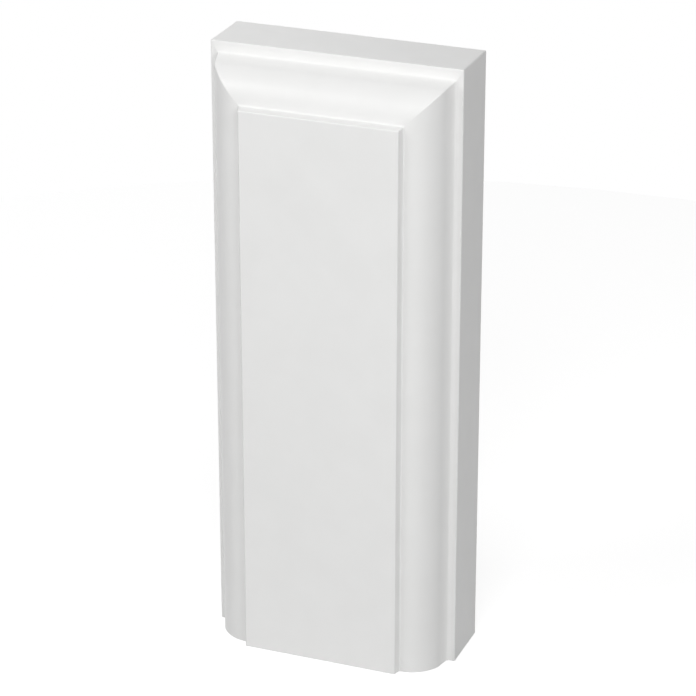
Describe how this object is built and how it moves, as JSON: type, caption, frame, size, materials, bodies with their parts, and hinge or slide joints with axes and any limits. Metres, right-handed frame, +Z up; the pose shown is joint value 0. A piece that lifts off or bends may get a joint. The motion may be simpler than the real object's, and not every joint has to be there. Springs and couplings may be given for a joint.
{
  "type": "plinth block",
  "caption": "Door plinth block moulded in one piece: a flat board with an ovolo moulding mitred round the sides and top of a flat raised panel that runs out square at the floor.",
  "frame": {"origin": "middle of the block's outline on the floor: half-way across its width and half-way from the wall face to the panel's face", "axes": "+Z up the block, -Y out of its moulded front, +Y to the wall, +X to the right seen from the front"},
  "size_m": [0.1142, 0.0494, 0.2794],
  "materials": {
    "primed_moulding": "satin"
  },
  "bodies": {
    "root": {"plinth_block": "primed_moulding"}
  },
  "joints": []
}
